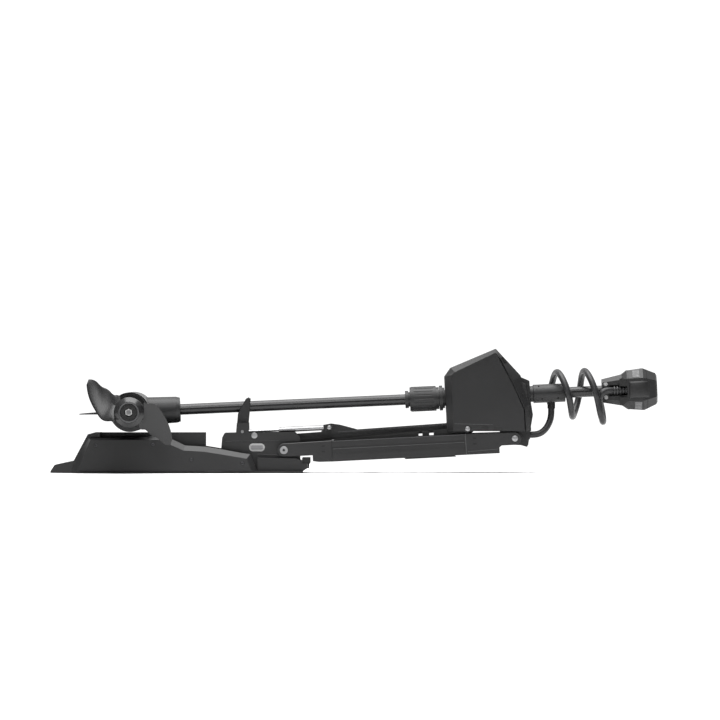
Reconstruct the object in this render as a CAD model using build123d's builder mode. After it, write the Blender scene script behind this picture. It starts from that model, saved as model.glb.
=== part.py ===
"""Bow-mount electric trolling motor, folded flat on its deck mount.

Frame: +X points inboard along the folded shaft, +Y to starboard, +Z up from the deck.
The origin is the centre of the four deck bolts on the underside of the base plate.
The motor pod lies across the base at -X, the steering head is at +X. Millimetres.
"""

from build123d import *
import os
from math import atan2, cos, degrees, hypot, pi, radians, sin, tan

os.makedirs("parts", exist_ok=True)

# ---------------------------------------------------------------- driving dimensions
running_gap = 0.05  # radial clearance of pins and shafts that turn or slide
face_gap = 1.0  # side clearance between pieces that swing past each other

# Base
base_nose_x = -327.0
base_tail_x = 366.0
plate_thick = 5.0
plate_half_width = 86.0
bolt_spacing_x = 330.0
bolt_spacing_y = 120.0
bolt_hole_r = 4.5
deck_top_z = 110.8  # flat top of the motor rest and of the covers' front half
cover_inner_y = 72.0
cover_edge_y = 78.0
cover_outer_y = 92.0
cover_wall = 4.0
cover_screw_r = 4.2
rest_rib_outer_y = 48.0
rest_rib_thick = 6.0
rest_front_x = -205.0
rest_back_x = 98.0
rest_pad_thick = 2.0
link_slot_half = 17.0

# Hinge bracket and its four-bar linkage
wall_inner_y = 41.0
wall_outer_y = 48.0
arm_pivot = (314.0, 62.5)  # x, z of the main hinge
link_pivot = (233.0, 102.5)
spring_anchor = (200.0, 113.0)
spring_pin_at = (438.0, 124.0)
elbow_pin_head_r = 8.4
hinge_pin_r = 10.0
elbow_pin_r = 7.0
link_pin_r = 6.0
spring_pin_r = 5.0

# Arm
arm_length = 633.5
arm_rest_angle = 2.9
arm_inner_y = 50.0
arm_outer_y = 68.0
arm_top_w = 19.0
arm_bottom_w = -38.0
rail_start_u = 132.0
rail_end_u = 497.0
rail_wall = 3.5

# Link and gas springs
link_half_width = 12.0
link_half_height = 12.0
link_elbow_at = (817.0, 121.0)
spring_y = 32.0
cylinder_r = 7.0
cylinder_length = 126.0
rod_r = 4.0
eye_r = 8.5
eye_width = 8.0

# Shaft, pod and propeller
shaft_tilt = 2.53
pod_x = -104.5
pod_z = 167.3
shaft_r = 15.0
shaft_bore_r = 12.0
pod_r = 54.0
pod_wall = 4.0
pod_back_y = -142.0
pod_front_y = 150.0
nose_cone_length = 46.0
pod_shaft_r = 6.0
socket_r = 36.0
socket_length = 97.0
prop_r = 138.0
prop_hub_r = 41.0
prop_hub_length = 56.0
prop_pitch = 200.0
prop_gap = 6.0  # between the pod's end cap and the propeller hub

# Steering housing, given along the shaft (u) or in x, z
quill_r = 22.0
quill_start_u = 752.0
collar_r = 25.5
collar_start_u = 1104.0
collar_length = 88.0
barrel_r = 34.4
housing_half_width = 72.0
housing_edge_y = 50.0
housing_wall = 4.0
housing_floor_z = 114.5
gear_teeth = 40
pinion_teeth = 12
gear_module = 2.25
gear_width = 12.0
gear_u = 905.0
steer_motor_r = 24.0
steer_motor_length = 92.0

# Head
neck_start_u = 1294.0
neck_length = 54.0
head_length = 96.0
cable_r = 9.0

arm_angle = radians(arm_rest_angle)
elbow = (
    arm_pivot[0] + arm_length * cos(arm_angle),
    arm_pivot[1] + arm_length * sin(arm_angle),
)
tilt = radians(shaft_tilt)
along_shaft = Vector(cos(tilt), 0, sin(tilt))
above_shaft = Vector(-sin(tilt), 0, cos(tilt))
across = Vector(0, 1, 0)
pod_centre = Vector(pod_x, 0, pod_z)


def side(y):
    """Plane at a given y, drawn in x and z; extruding goes towards -Y."""
    return Plane(origin=(0, y, 0), x_dir=(1, 0, 0), z_dir=(0, -1, 0))


def arm_side(y):
    """Plane at a given y, drawn along the arm from its hinge and square to it."""
    x_dir = (cos(arm_angle), 0, sin(arm_angle))
    return Plane(origin=(arm_pivot[0], y, arm_pivot[1]), x_dir=x_dir, z_dir=(0, -1, 0))


def shaft_point(u, v=0.0, y=0.0):
    """A point u along the shaft from the pod's centre, v above its axis."""
    return pod_centre + along_shaft * u + above_shaft * v + across * y


def shaft_plane(u, v=0.0, y=0.0):
    """Plane square to the shaft, drawn in y and height above the axis."""
    return Plane(origin=shaft_point(u, v, y), x_dir=across, z_dir=along_shaft)


def pod_plane(y):
    """Plane square to the pod's axis, drawn along the shaft; extruding goes to +Y."""
    return Plane(origin=pod_centre + across * y, x_dir=above_shaft, z_dir=across)


def save(piece, label):
    """Name a finished piece and write it."""
    piece.part.label = label
    export_step(piece.part, f"parts/{label}.step")


def save_pair(piece, label):
    """Write a left-hand piece together with its mirror image as one node."""
    with BuildPart() as both:
        add(piece.part)
        add(piece.part.mirror(Plane.XZ))
    save(both, label)


# ================================================================ base
base_plate_corners = [
    (base_nose_x, 36),
    (-262, 60),
    (-240, plate_half_width),
    (base_tail_x, plate_half_width),
]
with BuildPart() as base_plate:
    with BuildSketch(Plane.XY):
        full = base_plate_corners + [(x, -y) for x, y in reversed(base_plate_corners)]
        Polygon(*full, align=None)
    extrude(amount=plate_thick)
    with Locations(Plane.XY.offset(plate_thick)):
        with GridLocations(bolt_spacing_x, bolt_spacing_y, 2, 2):
            Hole(bolt_hole_r)
save(base_plate, "base_plate")

nose_back_x = -190.0
nose_outline = [
    (base_nose_x, plate_thick), (-315, 22), (-262, 33), (-223, 105.9),
    (rest_front_x, deck_top_z), (nose_back_x, deck_top_z), (nose_back_x, plate_thick),
]
nose_corners = [(base_nose_x, 36), (-262, 60), (-225, 66), (nose_back_x, 66)]
nose_plan = nose_corners + [(x, -y) for x, y in reversed(nose_corners)]
nose_floor = 3.0
with BuildPart() as nose_casting:
    with BuildSketch(side(66)):
        Polygon(*nose_outline, align=None)
    extrude(amount=2 * 66)
    with BuildSketch(Plane.XY.offset(plate_thick)):
        Polygon(*nose_plan, align=None)
    extrude(amount=deck_top_z, mode=Mode.INTERSECT)
    slot_depth = deck_top_z - plate_thick - nose_floor
    with Locations((-260, 0, plate_thick + nose_floor + slot_depth / 2)):
        Box(200, 2 * link_slot_half, slot_depth, mode=Mode.SUBTRACT)
    for sign in (-1, 1):
        with Locations((-212, sign * 40, plate_thick + 40)):
            Box(60, 34, 80, mode=Mode.SUBTRACT)
save(nose_casting, "nose_casting")

cover_edge_outline = [
    (-268, 6), (-250, 50), (-219, 96), (-60, 98.5), (-25, deck_top_z), (4, 95),
    (44, 75.6), (99, 72.3), (140, 65.7), (210, 53.1), (222, 52.3), (241, 6),
]
cover_face_outline = [
    (-251, 6), (-243, 24), (-214.5, 90.5), (-62, 91), (-28, 91), (-1, 80),
    (40, 62), (98, 58.5), (139, 52), (204, 41), (213, 39.5), (226, 6),
]
cover_inside = [
    (-240, 4), (-210, 86), (-30, 86), (38, 56), (97, 52), (200, 34), (208, 4),
]
cover_screw_spots = [(-199.7, 76.5), (-43.2, 79.2), (61.3, 37.1), (200.8, 27)]
with BuildPart() as side_cover:
    with BuildSketch(side(-cover_inner_y)):
        Polygon(*cover_edge_outline, align=None)
    extrude(amount=cover_edge_y - cover_inner_y)
    with BuildSketch(side(-cover_edge_y)):
        Polygon(*cover_edge_outline, align=None)
    with BuildSketch(side(-cover_outer_y)):
        Polygon(*cover_face_outline, align=None)
    loft(ruled=True)
    with BuildSketch(side(-cover_inner_y)):
        Polygon(*cover_inside, align=None)
    extrude(amount=cover_outer_y - cover_inner_y - cover_wall, mode=Mode.SUBTRACT)
    with BuildSketch(side(-cover_inner_y + 1)):
        with Locations(*cover_screw_spots):
            Circle(cover_screw_r)
    extrude(amount=cover_outer_y - cover_inner_y + 2, mode=Mode.SUBTRACT)
save_pair(side_cover, "side_covers")

screw_sunk = 1.2
screw_head = 3.0
with BuildPart() as cover_screws:
    with BuildSketch(side(-cover_inner_y - 1)):
        with Locations(*cover_screw_spots):
            Circle(cover_screw_r)
    extrude(amount=cover_outer_y - screw_sunk - cover_inner_y - 1)
    with BuildSketch(side(-cover_outer_y + screw_sunk + screw_head)):
        with Locations(*cover_screw_spots):
            RegularPolygon(2.0, 6)
    extrude(amount=screw_head + 1, mode=Mode.SUBTRACT)
save_pair(cover_screws, "cover_screws")

rest_top_z = deck_top_z - 0.6
rest_length = rest_back_x - nose_back_x
rest_middle_x = (rest_back_x + nose_back_x) / 2
rest_web = 6.0
with BuildPart() as motor_rest:
    with BuildSketch(side(-rest_rib_outer_y + rest_rib_thick)):
        Polygon((nose_back_x, plate_thick), (nose_back_x, rest_top_z - rest_pad_thick),
                (rest_back_x, rest_top_z - rest_pad_thick), (rest_back_x, plate_thick), align=None)
    extrude(amount=rest_rib_thick)
    mirror(about=Plane.XZ)
    with Locations((rest_middle_x, 0, plate_thick + rest_web / 2)):
        Box(rest_length, 2 * rest_rib_outer_y - 2, rest_web)
save(motor_rest, "motor_rest")

# Rubber strips on the rest carry the pod; two blocks at the tail stop the arm.
bumper_outline = [(364, 26), (364, 41.2), (386, 41.2), (386, 26)]
with BuildPart() as rubber_pads:
    pad_y = -rest_rib_outer_y + rest_rib_thick / 2
    with Locations((rest_middle_x, pad_y, rest_top_z - rest_pad_thick / 2)):
        Box(rest_length, rest_rib_thick, rest_pad_thick)
    with BuildSketch(side(-arm_inner_y - 2)):
        Polygon(*bumper_outline, align=None)
    extrude(amount=arm_outer_y - arm_inner_y - 4)
save_pair(rubber_pads, "rubber_pads")

wall_outline = [
    (142, plate_thick), (142, 66.8), (144.4, 96.5), (151.3, 109.2), (182.6, 110), (184.6, 137),
    (217.3, 137), (218, 110.5), (342.7, 112.5),
    (358, 98), (358, plate_thick),
]
wall_foot = [(238, plate_thick), (238, 49), (296, 43.5), (296, plate_thick)]
stud_r = 4.0
link_stub_r = 8.5
button_centre = (240.0, 69.9)
button_rim = (43.0, 21.5)
button_size = (35.0, 14.0)
rim_thick = 1.2
button_hole = (button_size[0] + 0.6, button_size[1] + 0.6)
with BuildPart() as left_hinge_wall:
    with BuildSketch(side(-wall_inner_y)):
        Polygon(*wall_outline, align=None)
        for spot, hole in ((arm_pivot, hinge_pin_r), (link_pivot, link_stub_r), (spring_anchor, stud_r)):
            with Locations(spot):
                Circle(hole, mode=Mode.SUBTRACT)
    extrude(amount=wall_outer_y - wall_inner_y)
    with BuildSketch(side(-wall_outer_y + rim_thick)):
        with Locations((250, 86)):
            Rectangle(240, 1.6)
    extrude(amount=rim_thick, mode=Mode.SUBTRACT)
    with BuildSketch(side(-wall_inner_y)):
        Polygon(*wall_foot, align=None)
    extrude(amount=wall_outer_y + 1.2 - wall_inner_y)
with BuildPart() as right_hinge_wall:
    add(left_hinge_wall.part.mirror(Plane.XZ))
save(right_hinge_wall, "right_hinge_wall")
with left_hinge_wall:
    with BuildSketch(side(-wall_inner_y + 1)):
        with Locations(button_centre):
            SlotOverall(*button_hole)
    extrude(amount=20, mode=Mode.SUBTRACT)
    with BuildSketch(side(-wall_outer_y + rim_thick)):
        with Locations(button_centre):
            SlotOverall(*button_rim)
    extrude(amount=10, mode=Mode.SUBTRACT)
save(left_hinge_wall, "left_hinge_wall")

# The rim is the light ring let into the left wall around its release button.
with BuildPart() as button_rim_ring:
    with BuildSketch(side(-wall_outer_y + rim_thick)):
        with Locations(button_centre):
            SlotOverall(*button_rim)
            SlotOverall(*button_hole, mode=Mode.SUBTRACT)
    extrude(amount=rim_thick)
save(button_rim_ring, "button_rim")

# The release button stands through the left wall on a flange that keeps it in.
button_out = 0.9
with BuildPart() as release_button:
    with BuildSketch(side(-wall_inner_y + 3)):
        with Locations(button_centre):
            SlotOverall(*button_size)
    extrude(amount=wall_outer_y - wall_inner_y + 3 + button_out)
    fillet(release_button.faces().sort_by(Axis.Y)[0].edges(), 0.8)
    with BuildSketch(side(-wall_inner_y + 3)):
        with Locations(button_centre):
            SlotOverall(button_size[0] + 6, button_size[1] + 6)
    extrude(amount=2.5)
save(release_button, "release_button")

rear_outline = [(242, plate_thick), (242, 42.5), (349, 40), (376.8, 26), (381.4, 14.6), (base_tail_x, plate_thick)]
gland_at = (30.0, 20.0)  # y, z of the power cable's way in
gland_bore_r = 5.0
gland_r = 9.0
with BuildPart() as rear_cover:
    with BuildSketch(side(70)):
        Polygon(*rear_outline, align=None)
    extrude(amount=140)
    for sign in (-1, 1):
        with Locations((300, sign * (wall_inner_y + wall_outer_y) / 2, 30)):
            Box(2 * (358 - 300) + 0.01 + 6, wall_outer_y - wall_inner_y + 2.6, 60, mode=Mode.SUBTRACT)
    with Locations((300, 0, 31)):
        Box(116, 2 * wall_inner_y - 8, 40, mode=Mode.SUBTRACT)
    with BuildSketch(Plane(origin=(340, 0, 0), x_dir=(0, 1, 0), z_dir=(1, 0, 0))):
        with Locations(gland_at):
            Circle(gland_r)
    extrude(amount=60, mode=Mode.SUBTRACT)
    with BuildSketch(side(70)):
        Polygon(*bumper_outline, align=None)
    extrude(amount=140, mode=Mode.SUBTRACT)
save(rear_cover, "rear_cover")


with BuildPart() as cable_gland:
    with BuildSketch(Plane(origin=(342, 0, 0), x_dir=(0, 1, 0), z_dir=(1, 0, 0))):
        with Locations(gland_at):
            Circle(gland_r)
            Circle(gland_bore_r, mode=Mode.SUBTRACT)
    extrude(amount=41)
save(cable_gland, "cable_gland")

# The yoke cradles the folded shaft between two tines.
tine_inner_y = shaft_r + 2.0
tine_thick = 6.5
tine_outline = [
    (183, plate_thick), (183, 112), (187, 161), (195, 178), (209, 203), (216, 207),
    (221.7, 203), (218.6, 161), (216.7, 141), (218, 110), (218, plate_thick),
]
with BuildPart() as shaft_yoke:
    with BuildSketch(side(-tine_inner_y)):
        Polygon(*tine_outline, align=None)
    extrude(amount=tine_thick)
    chamfer(shaft_yoke.faces().sort_by(Axis.Y)[0].edges(), 1.5)
save_pair(shaft_yoke, "shaft_yoke")

pin_head = 1.6
with BuildPart() as hinge_pins:
    with BuildSketch(side(-wall_inner_y)):
        with Locations(arm_pivot):
            Circle(hinge_pin_r)
            Circle(3.4, mode=Mode.SUBTRACT)
    extrude(amount=arm_outer_y + 2 - wall_inner_y)
    with BuildSketch(side(-arm_outer_y - 2)):
        with Locations(arm_pivot):
            Circle(hinge_pin_r + 0.9)
            Circle(3.4, mode=Mode.SUBTRACT)
    extrude(amount=pin_head)
    with BuildSketch(side(-wall_outer_y)):
        with Locations(arm_pivot):
            Circle(16)
            Circle(3.4, mode=Mode.SUBTRACT)
    extrude(amount=arm_inner_y - wall_outer_y - 0.4)
    with BuildSketch(side(-wall_inner_y + 1)):
        with Locations(link_pivot):
            Circle(link_stub_r)
    extrude(amount=wall_outer_y + 0.9 - wall_inner_y + 1)
    with BuildSketch(side(-spring_y - eye_width / 2 - face_gap)):
        with Locations(spring_anchor):
            Circle(stud_r)
    extrude(amount=wall_outer_y - 0.5 - spring_y - eye_width / 2 - face_gap)
save_pair(hinge_pins, "hinge_pins")

# ================================================================ main arm
knuckle_end_u = rail_start_u
knuckle_r = 18.0
with BuildPart() as arm_knuckle:
    with BuildSketch(arm_side(-arm_inner_y)):
        Polygon((0, knuckle_r), (knuckle_end_u, arm_top_w + 0.6), (knuckle_end_u, arm_bottom_w),
                (94, arm_bottom_w + 1), (78, arm_bottom_w + 4), (78, -knuckle_r), (0, -knuckle_r), align=None)
        Circle(knuckle_r)
        Circle(hinge_pin_r + running_gap, mode=Mode.SUBTRACT)
    extrude(amount=arm_outer_y + 1 - arm_inner_y)
    chamfer(arm_knuckle.faces().sort_by(Axis.Y)[0].outer_wire().edges(), 1.2)
    with BuildSketch(arm_side(-arm_outer_y - 1)):
        with Locations((108, 6), (108, -9)):
            Circle(2.6)
    extrude(amount=-8, mode=Mode.SUBTRACT)
save_pair(arm_knuckle, "arm_knuckles")

rail_height = arm_top_w - arm_bottom_w
rail_width = arm_outer_y - arm_inner_y
with BuildPart() as arm_rail:
    rail_start = Plane(
        origin=arm_side(0).from_local_coords(Vector(rail_start_u, (arm_top_w + arm_bottom_w) / 2, 0))
        + Vector(0, -(arm_inner_y + arm_outer_y) / 2, 0),
        x_dir=(0, 1, 0), z_dir=(cos(arm_angle), 0, sin(arm_angle)))
    with BuildSketch(rail_start):
        Rectangle(rail_width, rail_height)
        Rectangle(rail_width - 2 * rail_wall, rail_height - 2 * rail_wall, mode=Mode.SUBTRACT)
        with Locations((-rail_width / 2, 3)):
            Rectangle(2.4, 16, mode=Mode.SUBTRACT)
        with Locations((-rail_width / 2, -7.5)):
            Rectangle(1.6, 2.0, mode=Mode.SUBTRACT)
    extrude(amount=rail_end_u - rail_start_u)
save_pair(arm_rail, "arm_rails")

fork_start_u = rail_end_u
fork_step_u = 590.0
fork_r = 17.5
with BuildPart() as arm_fork:
    with BuildSketch(arm_side(-arm_inner_y)):
        Polygon((fork_start_u, arm_top_w + 1.2), (arm_length, fork_r), (arm_length, -fork_r),
                (fork_step_u + 6, -fork_r), (fork_step_u, -fork_r - 5), (fork_step_u, arm_bottom_w),
                (fork_start_u, arm_bottom_w), align=None)
        with Locations((arm_length, 0)):
            Circle(fork_r)
            Circle(elbow_pin_r, mode=Mode.SUBTRACT)
    extrude(amount=arm_outer_y + 1 - arm_inner_y)
    chamfer(arm_fork.faces().sort_by(Axis.Y)[0].outer_wire().edges(), 1.2)
    with BuildSketch(arm_side(-arm_outer_y - 1)):
        with Locations((fork_start_u + 26, 6), (fork_start_u + 26, -9)):
            Circle(2.6)
    extrude(amount=-8, mode=Mode.SUBTRACT)
save_pair(arm_fork, "arm_forks")

with BuildPart() as arm_screws:
    for u in (108, fork_start_u + 26):
        with BuildSketch(arm_side(-arm_outer_y + 6)):
            with Locations((u, 6), (u, -9)):
                Circle(2.6)
        extrude(amount=6)
save_pair(arm_screws, "arm_screws")

tie_height = 12.0
tie_spots = (240.0, 478.0)
with BuildPart() as arm_ties:
    for u in tie_spots:
        with BuildSketch(arm_side(arm_inner_y)):
            with Locations((u, arm_bottom_w + tie_height / 2 + 2)):
                Rectangle(28, tie_height)
        extrude(amount=2 * arm_inner_y)
save(arm_ties, "arm_ties")

lug_inner_y = 30.0
with BuildPart() as elbow_pins:
    with BuildSketch(side(-lug_inner_y - 2)):
        with Locations(elbow):
            Circle(elbow_pin_r)
    extrude(amount=arm_outer_y + 1 - lug_inner_y - 2)
    with BuildSketch(side(-arm_outer_y - 1)):
        with Locations(elbow):
            Circle(elbow_pin_head_r)
    extrude(amount=pin_head)
save_pair(elbow_pins, "elbow_pins")

# ================================================================ link arm
rail_slope = 0.0704
link_mid = (513.7, 106.7)


def link_line(x, rise=0.0):
    """A point of the link rail's centre line, raised by rise."""
    return (x, link_mid[1] + rail_slope * (x - link_mid[0]) + rise)


link_start_x, link_end_x = 300.0, 772.0
with BuildPart() as link_rail:
    with BuildSketch(side(link_half_width)):
        Polygon(link_line(link_start_x, -link_half_height), link_line(link_start_x, link_half_height),
                link_line(link_end_x, link_half_height), link_line(link_end_x, -link_half_height), align=None)
    extrude(amount=2 * link_half_width)
    for y in (-link_half_width, link_half_width):
        with BuildSketch(side(y + 1.2)):
            Polygon(link_line(link_start_x, -1), link_line(link_start_x, 4),
                    link_line(link_end_x, 4), link_line(link_end_x, -1), align=None)
        extrude(amount=2.4, mode=Mode.SUBTRACT)
save(link_rail, "link_rail")

link_end_width = 2 * link_half_width - 2
with BuildPart() as link_ends:
    with BuildSketch(side(link_end_width / 2)):
        Polygon((link_pivot[0], link_pivot[1] + 13), link_line(link_start_x, link_half_height),
                link_line(link_start_x, -link_half_height), (link_pivot[0], link_pivot[1] - 13), align=None)
        with Locations(link_pivot):
            Circle(13)
            Circle(link_stub_r + 0.3, mode=Mode.SUBTRACT)
    extrude(amount=link_end_width)
    with BuildSketch(side(link_end_width / 2)):
        Polygon((link_elbow_at[0], link_elbow_at[1] + 11), link_line(link_end_x, link_half_height),
                link_line(link_end_x, -link_half_height), (link_elbow_at[0], link_elbow_at[1] - 11), align=None)
        with Locations(link_elbow_at):
            Circle(11)
            Circle(link_pin_r + running_gap, mode=Mode.SUBTRACT)
    extrude(amount=link_end_width)
save(link_ends, "link_ends")

with BuildPart() as spring_bracket:
    with BuildSketch(side(link_half_width)):
        Polygon(link_line(416, link_half_height), (421, 131), (443, 135), (468, 131.5),
                link_line(514, link_half_height + 0.6), link_line(514, link_half_height), align=None)
    extrude(amount=2 * link_half_width)
    with BuildSketch(side(spring_y + eye_width)):
        with Locations(spring_pin_at):
            Circle(spring_pin_r)
    extrude(amount=2 * (spring_y + eye_width))
save(spring_bracket, "spring_bracket")

# ================================================================ gas springs
spring_run = (spring_pin_at[0] - spring_anchor[0], spring_pin_at[1] - spring_anchor[1])
spring_length = hypot(*spring_run)
spring_angle = atan2(spring_run[1], spring_run[0])
spring_dir = Vector(cos(spring_angle), 0, sin(spring_angle))
cylinder_end_s = spring_length - eye_r - 4.0
cylinder_start_s = cylinder_end_s - cylinder_length
rod_inside = 20.0


def spring_plane(s):
    """Plane square to the left gas spring, s along it from its anchor on the base."""
    origin = Vector(spring_anchor[0], -spring_y, spring_anchor[1]) + spring_dir * s
    return Plane(origin=origin, x_dir=(0, 1, 0), z_dir=spring_dir)


with BuildPart() as gas_cylinders:
    with BuildSketch(spring_plane(cylinder_start_s)):
        Circle(cylinder_r)
        Circle(rod_r + running_gap, mode=Mode.SUBTRACT)
    extrude(amount=cylinder_length - 6)
    with BuildSketch(spring_plane(cylinder_end_s - 6)):
        Circle(cylinder_r)
    extrude(amount=10)
    with BuildSketch(side(-spring_y + eye_width / 2)):
        with Locations(spring_pin_at):
            Circle(eye_r)
    extrude(amount=eye_width)
    with BuildSketch(side(-spring_y + eye_width)):
        with Locations(spring_pin_at):
            Circle(5 + running_gap)
    extrude(amount=2 * eye_width, mode=Mode.SUBTRACT)
save_pair(gas_cylinders, "gas_cylinders")

with BuildPart() as gas_rods:
    with BuildSketch(spring_plane(eye_r - 2)):
        Circle(rod_r)
    extrude(amount=cylinder_start_s + rod_inside - eye_r + 2)
    with BuildSketch(side(-spring_y + eye_width / 2)):
        with Locations(spring_anchor):
            Circle(eye_r)
    extrude(amount=eye_width)
    with BuildSketch(side(-spring_y + eye_width)):
        with Locations(spring_anchor):
            Circle(stud_r + 0.3)
    extrude(amount=2 * eye_width, mode=Mode.SUBTRACT)
save_pair(gas_rods, "gas_rods")

# ================================================================ steering housing
housing_edge_outline = [
    (762, housing_floor_z), (754, 263.5), (770.8, 287.7), (894.9, 340.2),
    (962.2, 267.6), (988, 190), (992, housing_floor_z),
]
housing_face_outline = [
    (778, housing_floor_z), (773, 268), (782, 276), (893.8, 329.7),
    (937.8, 246.7), (970.8, 173), (973.5, housing_floor_z),
]
cap_line = [(897, 360), (899, 335), (942, 247), (975.5, 173), (978, 60), (1010, 60), (1010, 360)]


def housing_form(inset, half_width, edge_y):
    """The faceted housing, drawn in by inset; a flat middle and two ruled flanks."""
    with BuildPart() as form:
        with BuildSketch(side(edge_y)):
            Polygon(*housing_edge_outline, align=None)
            offset(amount=-inset, kind=Kind.INTERSECTION)
        extrude(amount=2 * edge_y)
        for sign in (-1, 1):
            with BuildSketch(side(sign * edge_y)):
                Polygon(*housing_edge_outline, align=None)
                offset(amount=-inset, kind=Kind.INTERSECTION)
            with BuildSketch(side(sign * half_width)):
                Polygon(*housing_face_outline, align=None)
                offset(amount=-inset, kind=Kind.INTERSECTION)
            loft(ruled=True)
    return form.part


cable_exit = (990.0, 104.0)
lug_outline = [
    (905, housing_floor_z + 6), (911, 103), (925, 82), (elbow[0], 76.5), (963, 76),
    (981, 71), (988.6, 105.6), (990, housing_floor_z + 6),
]
housing_outer = housing_form(0, housing_half_width, housing_edge_y)
housing_inner = housing_form(housing_wall, housing_half_width - housing_wall, housing_edge_y)
housing_bottom_u = 859.0
with BuildPart() as housing_shell:
    add(housing_outer)
    add(housing_inner, mode=Mode.SUBTRACT)
    for y_in, y_out in ((-lug_inner_y, -wall_outer_y), (wall_outer_y, lug_inner_y)):
        with BuildSketch(side(y_in)):
            Polygon(*lug_outline, align=None)
        extrude(amount=y_in - y_out)
    # Cheeks each side of the link hold its pin.
    for y_in in (-16, 22):
        with BuildSketch(side(y_in)):
            Polygon((800, 121), (800, 160), (834, 160), (834, 121), align=None)
            with Locations(link_elbow_at):
                Circle(10)
        extrude(amount=6)
    with BuildSketch(side(-housing_half_width + housing_wall)):
        with Locations(link_elbow_at):
            Circle(10)
    extrude(amount=housing_wall)
    with BuildSketch(side(housing_half_width)):
        with Locations(link_elbow_at):
            Circle(10)
    extrude(amount=housing_wall)
    # Slot for the link, from the left wall to below its pin.
    with BuildSketch(side(link_half_width + 1.5)):
        Polygon((740, 90), (740, 152), (800, 152), (842, 140), (842, 90), align=None)
    extrude(amount=2 * link_half_width + 3, mode=Mode.SUBTRACT)
    with BuildSketch(side(housing_half_width + 1)):
        with Locations(link_elbow_at):
            Circle(link_pin_r)
    extrude(amount=2 * housing_half_width + 2, mode=Mode.SUBTRACT)
    with BuildSketch(side(lug_inner_y + 60)):
        with Locations(elbow):
            Circle(elbow_pin_r + running_gap)
    extrude(amount=2 * (lug_inner_y + 60), mode=Mode.SUBTRACT)
    with BuildSketch(shaft_plane(housing_bottom_u - 20)):
        Circle(quill_r + 3)
    extrude(amount=320, mode=Mode.SUBTRACT)
with BuildPart() as housing_case:
    add(housing_shell.part)
    with BuildSketch(side(100)):
        Polygon(*cap_line, align=None)
    extrude(amount=200, mode=Mode.SUBTRACT)
with BuildPart() as half_case:
    add(housing_case.part)
    with Locations((880, 100, 200)):
        Box(300, 200, 400, mode=Mode.SUBTRACT)
save(half_case, "housing_left_shell")
with BuildPart() as other_half_case:
    add(housing_case.part)
    with Locations((880, -100, 200)):
        Box(300, 200, 400, mode=Mode.SUBTRACT)
save(other_half_case, "housing_right_shell")
with BuildPart() as housing_end_cover:
    add(housing_shell.part)
    with BuildSketch(side(100)):
        Polygon(*cap_line, align=None)
    extrude(amount=200, mode=Mode.INTERSECT)
    # A short spout lets the head's cable out below the collar.
    with BuildSketch(Plane(origin=(978, 0, cable_exit[1]), x_dir=(0, 1, 0), z_dir=(1, 0, 0))):
        Circle(cable_r + 4)
    extrude(amount=cable_exit[0] - 978)
save(housing_end_cover, "housing_end_cover")

with BuildPart() as link_elbow_pin:
    with BuildSketch(side(housing_half_width + 1.4)):
        with Locations(link_elbow_at):
            Circle(link_pin_r)
    extrude(amount=2 * housing_half_width + 2.8)
save(link_elbow_pin, "link_elbow_pin")


def rings_on_shaft(*rings):
    """One piece made of plain rings round the shaft: start u, length, outer and inner radius."""
    with BuildPart() as piece:
        for u, length, outer_r, inner_r in rings:
            with BuildSketch(shaft_plane(u)):
                Circle(outer_r)
                Circle(inner_r, mode=Mode.SUBTRACT)
            extrude(amount=length)
    return piece


bearing_u = (873.0, 1038.0)
bearing_width = 12.0
bearing_outer_r = 33.0
neck_ring = rings_on_shaft(
    (846, 9, barrel_r, quill_r + running_gap), (855, 5.5, barrel_r - 6, quill_r + running_gap))
save(neck_ring, "neck_ring")

quill_bearings = rings_on_shaft(
    *[(u, bearing_width, bearing_outer_r, quill_r + running_gap) for u in bearing_u])
save(quill_bearings, "quill_bearings")

gear_pitch_r = gear_teeth * gear_module / 2
pinion_pitch_r = pinion_teeth * gear_module / 2
gear_distance = gear_pitch_r + pinion_pitch_r
motor_u = gear_u + gear_width + 6
with BuildPart() as gearbox_frame:
    for u, top in ((bearing_u[0] + 0.5, 42.0), (motor_u - 4, gear_distance + steer_motor_r - 6), (bearing_u[1] + 0.5, 42.0)):
        with BuildSketch(shaft_plane(u)):
            with Locations((0, (top - 42.0) / 2)):
                Rectangle(100, top + 42.0)
            if u == motor_u - 4:
                Circle(quill_r + 4, mode=Mode.SUBTRACT)
                with Locations((0, gear_distance)):
                    Circle(8, mode=Mode.SUBTRACT)
            else:
                Circle(bearing_outer_r, mode=Mode.SUBTRACT)
        extrude(amount=4 if u == motor_u - 4 else bearing_width - 1)
    for y in (-1, 1):
        with BuildSketch(shaft_plane(bearing_u[0] + 0.5)):
            with Locations((y * 53, -30)):
                Rectangle(6, 24)
        extrude(amount=bearing_u[1] + bearing_width - 1 - bearing_u[0])
save(gearbox_frame, "gearbox_frame")

with BuildPart() as steering_motor:
    with BuildSketch(shaft_plane(motor_u, gear_distance)):
        Circle(steer_motor_r)
        Circle(4 + running_gap, mode=Mode.SUBTRACT)
    extrude(amount=steer_motor_length)
save(steering_motor, "steering_motor")


def gear_outline(teeth, phase):
    """Straight-sided teeth with backlash, round the origin."""
    pitch_r = teeth * gear_module / 2
    step = 2 * pi / teeth
    points = []
    for tooth in range(teeth):
        middle = phase + tooth * step
        for r, share in ((pitch_r - 1.15 * gear_module, -0.27), (pitch_r + 0.8 * gear_module, -0.1),
                         (pitch_r + 0.8 * gear_module, 0.1), (pitch_r - 1.15 * gear_module, 0.27)):
            points.append((r * cos(middle + share * step), r * sin(middle + share * step)))
    return points


with BuildPart() as steering_gear:
    with BuildSketch(shaft_plane(gear_u)):
        Polygon(*gear_outline(gear_teeth, pi / 2), align=None)
        Circle(quill_r, mode=Mode.SUBTRACT)
    extrude(amount=gear_width)
save(steering_gear, "steering_gear")

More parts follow.
